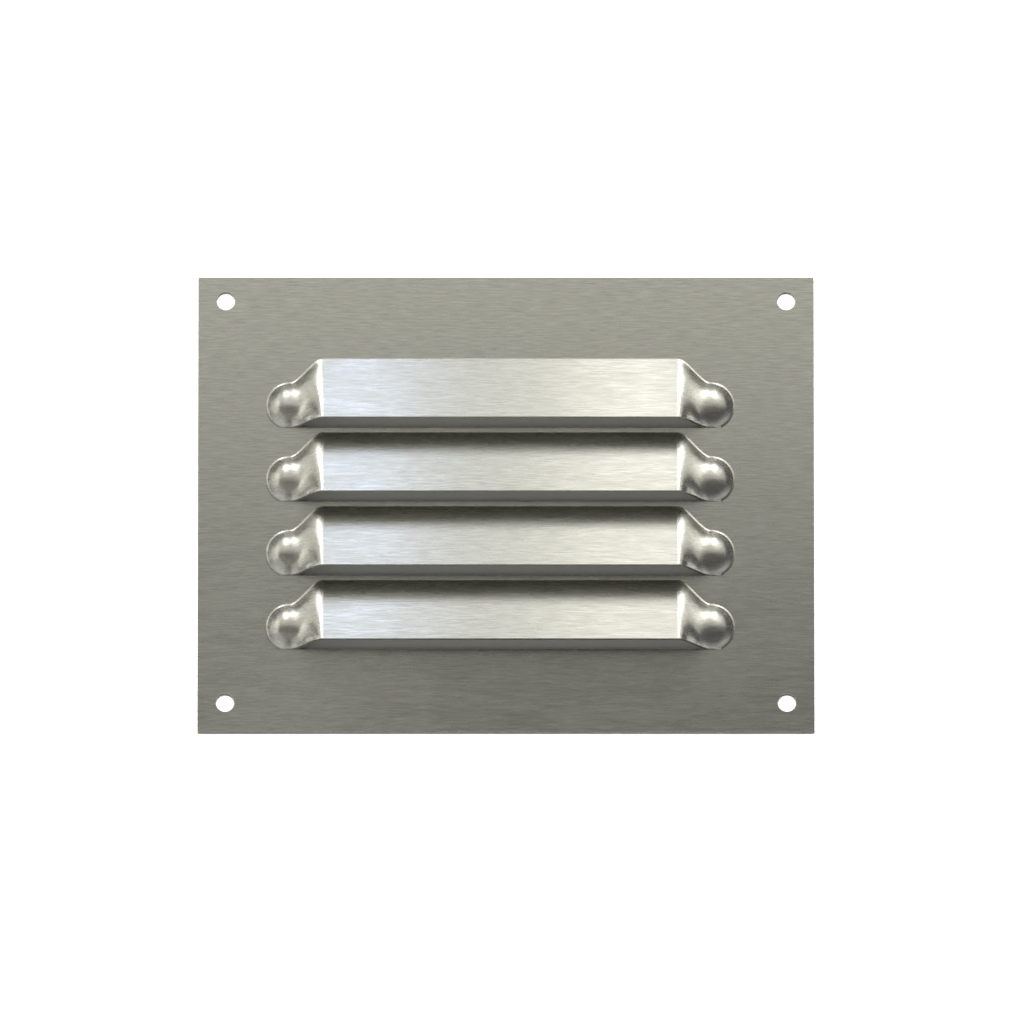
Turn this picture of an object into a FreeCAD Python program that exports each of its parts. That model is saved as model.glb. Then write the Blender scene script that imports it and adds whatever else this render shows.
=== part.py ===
"""A louvred ventilation panel, pressed from one sheet of metal.

The panel lies on its back: the back face is on Z = 0 and the louvres rise
towards +Z. X runs along the louvres and Y across them, from the open edge of
a louvre to its bend. The origin is at the centre of the back face.
Sizes are in millimetres and degrees.
"""

import math
import os

import FreeCAD, Part
from FreeCAD import Vector

# The sheet and its four fixing holes
sheet_thickness = 1.0
panel_width = 150.0
panel_height = 112.0
hole_diameter = 4.5
hole_inset_side = 6.7  # centre of a hole to the left or right edge
hole_inset_top = 5.8
hole_inset_bottom = 7.2

# The row of louvres
louvre_count = 4
louvre_pitch = 18.2
first_bend_inset = 20.1  # top edge of the panel to the first louvre's bend
louvre_offset = -1.4  # the louvres sit off the panel's middle line, along X

# The blade of one louvre, the straight part that stands out of the sheet
blade_length = 17.0  # bend to shear line, as measured in the flat sheet
blade_half_width = 43.0
blade_angle = 25.0

# The ball-shaped nose that closes each end, and the stretch where it swells into the blade
nose_radius = 7.3
nose_outline_radius = 5.6  # the nose's outline on the face of the sheet
nose_from_shear = 5.3  # shear line to the centre of the nose
swell_length = 8.2  # end of the blade to the centre of the nose

# The radius that the tool leaves on the face side, where the raised form meets the sheet
foot_radius = 0.8

# How far the working blocks reach past the louvre
side_margin = 4.0
shear_margin = 0.75
bend_margin = 4.0
block_depth = 30.0

tilt = math.radians(blade_angle)
blade_normal = Vector(0, math.sin(tilt), math.cos(tilt))
nose_offset = blade_half_width + swell_length
nose_depth = math.sqrt(nose_radius**2 - nose_outline_radius**2)
region_half_length = nose_offset + nose_outline_radius + side_margin
strip_width = louvre_pitch - blade_length
section_half_angle = math.radians(80)
tolerance = 1e-4


def blade_point(x, y, inset):
    """A point of the blade's face, y from the shear line, moved in along the face's normal."""
    rise = (blade_length - y) * math.tan(tilt)
    return Vector(x, y, sheet_thickness + rise) - blade_normal * inset


def working_box(top):
    """The block around one louvre, from deep below the sheet up to the height top."""
    return Part.makeBox(
        2 * region_half_length,
        blade_length + shear_margin + bend_margin,
        block_depth + top,
        Vector(-region_half_length, -shear_margin, -block_depth),
    )


def blade_block(inset):
    """The solid below the blade's face, along the straight part of the louvre."""
    low = blade_point(-blade_half_width, -2 * shear_margin, inset)
    high = blade_point(-blade_half_width, blade_length + 2 * bend_margin, inset)
    outline = [
        low,
        high,
        Vector(high.x, high.y, -block_depth),
        Vector(low.x, low.y, -block_depth),
        low,
    ]
    return Part.Face(Part.makePolygon(outline)).extrude(Vector(2 * blade_half_width, 0, 0))


def nose_centre():
    return Vector(nose_offset, nose_from_shear, sheet_thickness - nose_depth)


def nose_section(inset):
    """The arc across the nose at its centre. Both its ends are below the sheet."""
    radius = nose_radius - inset
    points = [
        nose_centre() + Vector(0, radius * math.sin(angle), radius * math.cos(angle))
        for angle in (section_half_angle, 0, -section_half_angle)
    ]
    return Part.Arc(*points).toBSpline()


def blade_section_pole(nose_pole, inset):
    """The pole on the blade's straight section that a pole of the nose's arc swells into.

    The nose's outline meets the bend on one side and the shear line on the other.
    """
    across = (nose_pole.y - nose_from_shear) / nose_outline_radius
    return blade_point(blade_half_width, blade_length / 2 * (1 + across), inset)


def swell_surface(inset):
    """The face that leaves the blade's section level along X, and reaches the nose's arc level."""
    arc = nose_section(inset)
    line = [blade_section_pole(pole, inset) for pole in nose_section(0).getPoles()]
    steepness = math.atan2(blade_length * math.tan(tilt), swell_length)
    shift = inset * math.tan(steepness / 2)
    nose_reach = Vector(swell_length / 3 + shift, 0, 0)
    blade_reach = Vector(swell_length / 3 - shift, 0, 0)
    rows = [
        arc.getPoles(),
        [pole - nose_reach for pole in arc.getPoles()],
        [pole + blade_reach for pole in line],
        line,
    ]
    surface = Part.BSplineSurface()
    surface.buildFromPolesMultsKnots(
        rows,
        [4, 4],
        arc.getMultiplicities(),
        [0, 1],
        arc.getKnots(),
        False,
        False,
        3,
        arc.Degree,
        [arc.getWeights()] * len(rows),
    )
    return surface


def end_block(inset):
    """The solid below the skin at the +X end: the swelling stretch and the outer half of the nose."""
    swell = swell_surface(inset).toShape().extrude(Vector(0, 0, -block_depth / 2))
    outer_half = Part.makeSphere(nose_radius - inset, nose_centre(), Vector(1, 0, 0), 0, 90, 360)
    return swell, outer_half


def corner_angle(body, edge):
    """The angle between the outward normals of the two faces that meet at an edge."""
    middle = edge.valueAt((edge.FirstParameter + edge.LastParameter) / 2)
    faces = body.ancestorsOfType(edge, Part.Face)
    if len(faces) < 2:
        return 0.0
    normals = [face.normalAt(*face.Surface.parameter(middle)) for face in faces]
    return math.degrees(normals[0].getAngle(normals[1]))


def foot_edges(body, ground):
    """The outline of the raised form on the ground plane, inside the block's own border."""
    feet = []
    for edge in body.Edges:
        box = edge.BoundBox
        inside = max(abs(box.XMin), abs(box.XMax)) < region_half_length - tolerance
        behind = box.YMax > tolerance - shear_margin
        level = max(abs(box.ZMin - ground), abs(box.ZMax - ground)) < tolerance
        if inside and behind and level and corner_angle(body, edge) > 3:
            feet.append(edge)
    return feet


def raised_block(inset):
    """The block whose top is one skin of the sheet: the face (inset 0) or the back (one thickness)."""
    ground = sheet_thickness - inset
    ceiling = sheet_thickness + (blade_length + 2 * shear_margin) * math.tan(tilt)
    right_end = end_block(inset)
    left_end = [form.mirror(Vector(), Vector(1, 0, 0)) for form in right_end]
    forms = [blade_block(inset), *right_end, *left_end]
    body = working_box(ground).fuse(forms).common(working_box(ceiling))
    body = body.removeSplitter().Solids[0]
    return body.makeFillet(foot_radius + inset, foot_edges(body, ground)).Solids[0]


def kept_side():
    """What lies behind the shear cut, which leans back as the blade swings up."""
    lean = block_depth * math.tan(tilt / 2)
    back = blade_length + strip_width / 2
    outline = [
        Vector(-region_half_length, -lean, sheet_thickness - block_depth),
        Vector(-region_half_length, lean, sheet_thickness + block_depth),
        Vector(-region_half_length, back, sheet_thickness + block_depth),
        Vector(-region_half_length, back, sheet_thickness - block_depth),
        Vector(-region_half_length, -lean, sheet_thickness - block_depth),
    ]
    return Part.Face(Part.makePolygon(outline)).extrude(Vector(2 * region_half_length, 0, 0))


def louvre():
    """One louvre with the flat sheet around it, its shear line on Y = 0."""
    skin = raised_block(0).cut(raised_block(sheet_thickness))
    return skin.common(kept_side())


def louvre_window():
    """The rectangle of flat sheet that one louvre takes the place of."""
    return Part.makeBox(
        2 * region_half_length,
        blade_length + strip_width / 2,
        sheet_thickness,
        Vector(-region_half_length, 0, 0),
    )


def flat_sheet():
    return Part.makeBox(
        panel_width,
        panel_height,
        sheet_thickness,
        Vector(-panel_width / 2, -panel_height / 2, 0),
    )


def fixing_holes():
    holes = []
    for x in (hole_inset_side - panel_width / 2, panel_width / 2 - hole_inset_side):
        for y in (hole_inset_bottom - panel_height / 2, panel_height / 2 - hole_inset_top):
            holes.append(Part.makeCylinder(hole_diameter / 2, sheet_thickness, Vector(x, y, 0)))
    return holes


def louvred_panel():
    first_shear_line = panel_height / 2 - first_bend_inset - blade_length
    places = [
        Vector(louvre_offset, first_shear_line - index * louvre_pitch, 0)
        for index in range(louvre_count)
    ]
    one_louvre = louvre()
    one_window = louvre_window()
    windows = [one_window.translated(place) for place in places]
    louvres = [one_louvre.translated(place) for place in places]
    sheet = flat_sheet().cut(windows + fixing_holes())
    return sheet.fuse(louvres).removeSplitter().Solids[0]


os.makedirs("parts", exist_ok=True)
louvred_panel().exportStep("parts/louvred_panel.step")
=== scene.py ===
import math

import bpy
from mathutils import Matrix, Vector


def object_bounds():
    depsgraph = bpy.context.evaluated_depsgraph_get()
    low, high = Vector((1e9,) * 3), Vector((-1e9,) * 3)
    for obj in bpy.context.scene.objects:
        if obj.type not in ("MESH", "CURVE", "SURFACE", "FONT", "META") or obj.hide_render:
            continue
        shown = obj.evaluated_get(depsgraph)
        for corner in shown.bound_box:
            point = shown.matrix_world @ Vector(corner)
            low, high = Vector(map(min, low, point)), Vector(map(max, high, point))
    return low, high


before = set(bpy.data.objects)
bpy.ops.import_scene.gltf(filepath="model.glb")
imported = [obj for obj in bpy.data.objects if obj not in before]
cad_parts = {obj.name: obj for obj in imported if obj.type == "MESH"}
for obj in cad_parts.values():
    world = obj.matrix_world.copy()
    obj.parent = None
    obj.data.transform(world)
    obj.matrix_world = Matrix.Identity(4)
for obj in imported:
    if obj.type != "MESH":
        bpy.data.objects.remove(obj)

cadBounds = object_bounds()
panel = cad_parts["louvred_panel"]


def hexToLinear(code):
    channels = [int(code[i:i + 2], 16) / 255 for i in (1, 3, 5)]
    return tuple(c / 12.92 if c <= 0.04045 else ((c + 0.055) / 1.055) ** 2.4 for c in channels) + (1.0,)


def addNode(tree, kind, settings=None, links=None):
    # settings go to the node's own options or, by socket name, to its inputs
    # links go to inputs, by name, or by number where two inputs share a name
    node = tree.nodes.new(kind)
    for name, value in (settings or {}).items():
        if name in node.inputs:
            node.inputs[name].default_value = value
        else:
            setattr(node, name, value)
    for name, source in (links or {}).items():
        tree.links.new(source, node.inputs[name])
    return node


print("panel: steel and edges")

sheet = {
    "steelColour": "#cbcac3",
    "rollMarkColour": "#b5b4ac",    # the darker lines of the grain
    "roughness": 0.27,
    "anisotropy": 0.6,
    "grainWidth": 0.00034,          # m, real lines are about 0.05 mm and are drawn coarser so that they show
    "grainLength": 0.0045,          # m
    "grainDepth": 0.0000016,        # m
    "grainDetail": 3.0,
    "grainRaggedness": 0.6,
    "grainContrast": (0.32, 0.68),  # the stretch of the grain's noise that runs from dark to light
    "bandScale": (0.35, 0.22),      # broader bands, their scale against the grain's along and across it
    "bandDetail": 2.0,
    "bandRaggedness": 0.55,
    "bandBlur": (-0.02, 0.025),     # what the bands add to the roughness
    "cloudSize": 0.02,              # m, slow changes from patch to patch
    "cloudDetail": 3.0,
    "cloudBlur": (-0.01, 0.01),     # what the clouds add to the roughness
    "noiseRange": (0.3, 0.7),       # where a noise's values mostly lie
    "joinDistance": 0.000001,       # m, the faces of the sheet are joined before their edges are broken
    "edgeBreak": 0.0001,            # m, the sheared edges are broken to a tenth of a millimetre
    "edgeSegments": 2,
    "edgeAngle": 40,                # degrees, corners sharper than this are broken
}


def brushedStainlessSteel(values):
    # 304 stainless sheet, rolled and then brushed with a belt: fine lines along the louvres,
    # highlights smeared across the lines, a slightly warm grey
    material = bpy.data.materials.new("brushedStainlessSteel")
    material.use_nodes = True
    tree = material.node_tree
    tree.nodes.clear()
    place = addNode(tree, "ShaderNodeTexCoord").outputs["Object"]

    along, across = 1 / values["grainLength"], 1 / values["grainWidth"]
    grainPlace = addNode(
        tree, "ShaderNodeMapping", {"Scale": (along, across, across)}, {"Vector": place}
    )
    grain = addNode(
        tree,
        "ShaderNodeTexNoise",
        {"Scale": 1.0, "Detail": values["grainDetail"], "Roughness": values["grainRaggedness"]},
        {"Vector": grainPlace.outputs["Vector"]},
    ).outputs["Fac"]
    along, across = values["bandScale"][0] * along, values["bandScale"][1] * across
    bandPlace = addNode(
        tree, "ShaderNodeMapping", {"Scale": (along, across, across)}, {"Vector": place}
    )
    bands = addNode(
        tree,
        "ShaderNodeTexNoise",
        {"Scale": 1.0, "Detail": values["bandDetail"], "Roughness": values["bandRaggedness"]},
        {"Vector": bandPlace.outputs["Vector"]},
    ).outputs["Fac"]
    clouds = addNode(
        tree,
        "ShaderNodeTexNoise",
        {"Scale": 1 / values["cloudSize"], "Detail": values["cloudDetail"]},
        {"Vector": place},
    ).outputs["Fac"]

    darkest, lightest = values["grainContrast"]
    streaks = addNode(
        tree, "ShaderNodeMapRange", {"From Min": darkest, "From Max": lightest}, {"Value": grain}
    )
    tone = addNode(
        tree,
        "ShaderNodeMix",
        {
            "data_type": "RGBA",
            "A": hexToLinear(values["rollMarkColour"]),
            "B": hexToLinear(values["steelColour"]),
        },
        {"Factor": streaks.outputs["Result"]},
    )
    low, high = values["noiseRange"]
    sharpest, dullest = values["bandBlur"]
    bandBlur = addNode(
        tree,
        "ShaderNodeMapRange",
        {
            "From Min": low,
            "From Max": high,
            "To Min": values["roughness"] + sharpest,
            "To Max": values["roughness"] + dullest,
        },
        {"Value": bands},
    )
    sharpest, dullest = values["cloudBlur"]
    cloudBlur = addNode(
        tree,
        "ShaderNodeMapRange",
        {"From Min": low, "From Max": high, "To Min": sharpest, "To Max": dullest},
        {"Value": clouds},
    )
    blur = addNode(
        tree,
        "ShaderNodeMath",
        {"operation": "ADD"},
        {0: bandBlur.outputs["Result"], 1: cloudBlur.outputs["Result"]},
    )
    relief = addNode(tree, "ShaderNodeBump", {"Distance": values["grainDepth"]}, {"Height": grain})
    acrossGrain = addNode(tree, "ShaderNodeCombineXYZ", {"Y": 1.0})
    steel = addNode(
        tree,
        "ShaderNodeBsdfPrincipled",
        {"Metallic": 1.0, "Anisotropic": values["anisotropy"]},
        {
            "Base Color": tone.outputs["Result"],
            "Roughness": blur.outputs["Value"],
            "Normal": relief.outputs["Normal"],
            "Tangent": acrossGrain.outputs["Vector"],
        },
    )
    addNode(tree, "ShaderNodeOutputMaterial", links={"Surface": steel.outputs["BSDF"]})
    return material


def breakEdges(piece, values):
    join = piece.modifiers.new("joinCorners", "WELD")
    join.merge_threshold = values["joinDistance"]
    bevel = piece.modifiers.new("breakEdges", "BEVEL")
    bevel.width = values["edgeBreak"]
    bevel.segments = values["edgeSegments"]
    bevel.limit_method = "ANGLE"
    bevel.angle_limit = math.radians(values["edgeAngle"])
    bevel.harden_normals = True


panel.data.materials.clear()
panel.data.materials.append(brushedStainlessSteel(sheet))
breakEdges(panel, sheet)


print("floor")

ground = {
    "colour": "#f6f6f4",
    "roughness": 0.9,
    "size": 6.0,     # m
    "gap": 0.0002,   # m, the floor lies just clear of the sheet's back
}


def mattPaint(values):
    # matt emulsion on a board, rolled on: even and pale, without shine
    material = bpy.data.materials.new("mattPaint")
    material.use_nodes = True
    paint = material.node_tree.nodes["Principled BSDF"]
    paint.inputs["Base Color"].default_value = hexToLinear(values["colour"])
    paint.inputs["Roughness"].default_value = values["roughness"]
    return material


def addFloor(values):
    half = values["size"] / 2
    corners = [(-half, -half, 0), (half, -half, 0), (half, half, 0), (-half, half, 0)]
    mesh = bpy.data.meshes.new("floor")
    mesh.from_pydata(corners, [], [(0, 1, 2, 3)])
    mesh.materials.append(mattPaint(values))
    piece = bpy.data.objects.new("floor", mesh)
    bpy.context.scene.collection.objects.link(piece)
    piece.location.z = -values["gap"]
    return piece


floor = addFloor(ground)


print("room and lights")

studio = {
    "roomColour": "#ffffff",
    "roomStrength": 0.11,
    "frontGlow": 0.9,            # brightness of the room low down in front, so that the back views are lit
    "glowRise": (0.5, 0.15),     # the upward part of a direction, where the glow begins and where it is full
    "glowFront": (-0.15, -0.7),  # the same for a direction's part along Y
    "floorLight": 3.4,           # brightness of the lamp that lights the floor alone
    "floorLightLean": 18,        # degrees from straight down, from behind the louvres
    "floorLightWidth": 8,        # degrees across, for a soft shadow
    # place, where it points, width and height in metres, brightness, colour
    "softboxes": {
        "overhead": [(0.0, 0.575, 0.45), (0.0, 0.575, 0.0), (1.8, 1.0), 0.71, "#fffff5"],
        "back": [(0.0, 1.05, 0.63), (0.0, 0.0, 0.0), (2.6, 0.75), 0.22, "#fffff5"],
        "frontLeft": [(-1.0, -0.8, 0.8), (0.0, 0.0, 0.0), (1.6, 0.8), 0.40, "#fffff5"],
        "frontTop": [(-0.5, -0.5, 1.0), (0.0, 0.0, 0.0), (0.8, 0.7), 0.18, "#fffff5"],
        "fillLeft": [(-0.065, -0.12, 0.28), (-0.055, 0.0, 0.0), (0.05, 0.24), 0.35, "#fffff5"],
        "hotLeft": [(-0.042, 0.30, 0.18), (-0.04, 0.0, 0.0), (0.016, 0.10), 4.6, "#bccfff"],
        "hotRight": [(0.037, 0.30, 0.18), (0.03, 0.0, 0.0), (0.036, 0.10), 1.9, "#ffffff"],
        "windowLeft": [(-0.38, 1.02, 0.74), (0.0, 0.0, 0.0), (0.28, 0.45), 4.5, "#ffffff"],
        "windowRight": [(0.36, 1.02, 0.74), (0.0, 0.0, 0.0), (0.30, 0.45), 4.5, "#ffffff"],
        "sideLeft": [(-1.2, 0.2, 0.6), (0.0, 0.0, 0.0), (1.0, 0.9), 0.75, "#fffff5"],
        "sideRight": [(0.7, 0.95, 1.0), (0.0, 0.0, 0.0), (0.7, 0.6), 0.9, "#fffff5"],
    },
}


def addRoom(values):
    # a dim even room that is brighter low down in front of the open edges
    world = bpy.data.worlds.new("softRoom")
    bpy.context.scene.world = world
    world.use_nodes = True
    tree = world.node_tree
    place = addNode(tree, "ShaderNodeTexCoord")
    direction = addNode(tree, "ShaderNodeSeparateXYZ", links={"Vector": place.outputs["Generated"]})
    begins, full = values["glowRise"]
    low = addNode(
        tree,
        "ShaderNodeMapRange",
        {"From Min": begins, "From Max": full},
        {"Value": direction.outputs["Z"]},
    )
    begins, full = values["glowFront"]
    front = addNode(
        tree,
        "ShaderNodeMapRange",
        {"From Min": begins, "From Max": full},
        {"Value": direction.outputs["Y"]},
    )
    glow = addNode(
        tree,
        "ShaderNodeMath",
        {"operation": "MULTIPLY"},
        {0: low.outputs["Result"], 1: front.outputs["Result"]},
    )
    strength = addNode(
        tree,
        "ShaderNodeMapRange",
        {"To Min": values["roomStrength"], "To Max": values["frontGlow"]},
        {"Value": glow.outputs["Value"]},
    )
    background = tree.nodes["Background"]
    background.inputs["Color"].default_value = hexToLinear(values["roomColour"])
    tree.links.new(strength.outputs["Result"], background.inputs["Strength"])


def addSoftbox(name, place, target, size, brightness, colour):
    # the power follows from the size, so that the brightness seen in the metal stays as given
    lamp = bpy.data.lights.new(name, "AREA")
    lamp.shape = "RECTANGLE"
    lamp.size, lamp.size_y = size
    lamp.energy = brightness * math.pi * size[0] * size[1]
    lamp.color = hexToLinear(colour)[:3]
    holder = bpy.data.objects.new(name, lamp)
    holder.location = place
    holder.rotation_euler = (Vector(target) - Vector(place)).to_track_quat("-Z", "Y").to_euler()
    holder.visible_camera = False
    bpy.context.scene.collection.objects.link(holder)


def addFloorLamp(values):
    # the floor has a lamp of its own, so that it stays white without glare on the metal
    lamp = bpy.data.lights.new("floorLamp", "SUN")
    lamp.energy = values["floorLight"]
    lamp.angle = math.radians(values["floorLightWidth"])
    holder = bpy.data.objects.new("floorLamp", lamp)
    holder.rotation_euler = (-math.radians(values["floorLightLean"]), 0, 0)
    bpy.context.scene.collection.objects.link(holder)
    floorOnly = bpy.data.collections.new("floorOnly")
    floorOnly.objects.link(floor)
    holder.light_linking.receiver_collection = floorOnly


addRoom(studio)
for name, settings in studio["softboxes"].items():
    addSoftbox(name, *settings)
addFloorLamp(studio)


print("camera")

view = {
    "frameWidth": 0.2493,       # m across the picture at the panel
    "distance": 5.0,            # m
    "belowSquare": 9.0,         # degrees that the camera leans from square on, towards the open edges
    "rightOfMiddle": 0.001461,  # m, where it looks, from the panel's middle
    "belowMiddle": 0.001899,    # m
    "height": 0.001,            # m, the face of the sheet
}


def addCamera(values):
    camera = bpy.data.cameras.new("camera")
    camera.lens = camera.sensor_width * values["distance"] / values["frameWidth"]
    holder = bpy.data.objects.new("camera", camera)
    bpy.context.scene.collection.objects.link(holder)
    lean = math.radians(values["belowSquare"])
    outward = Vector((0, -math.sin(lean), math.cos(lean)))
    middle = (cadBounds[0] + cadBounds[1]) / 2
    aim = Vector((middle.x + values["rightOfMiddle"], middle.y - values["belowMiddle"], values["height"]))
    holder.location = aim + outward * values["distance"]
    holder.rotation_euler = (-outward).to_track_quat("-Z", "Y").to_euler()
    return holder


bpy.context.scene.camera = addCamera(view)
bpy.context.scene.view_settings.view_transform = "Standard"
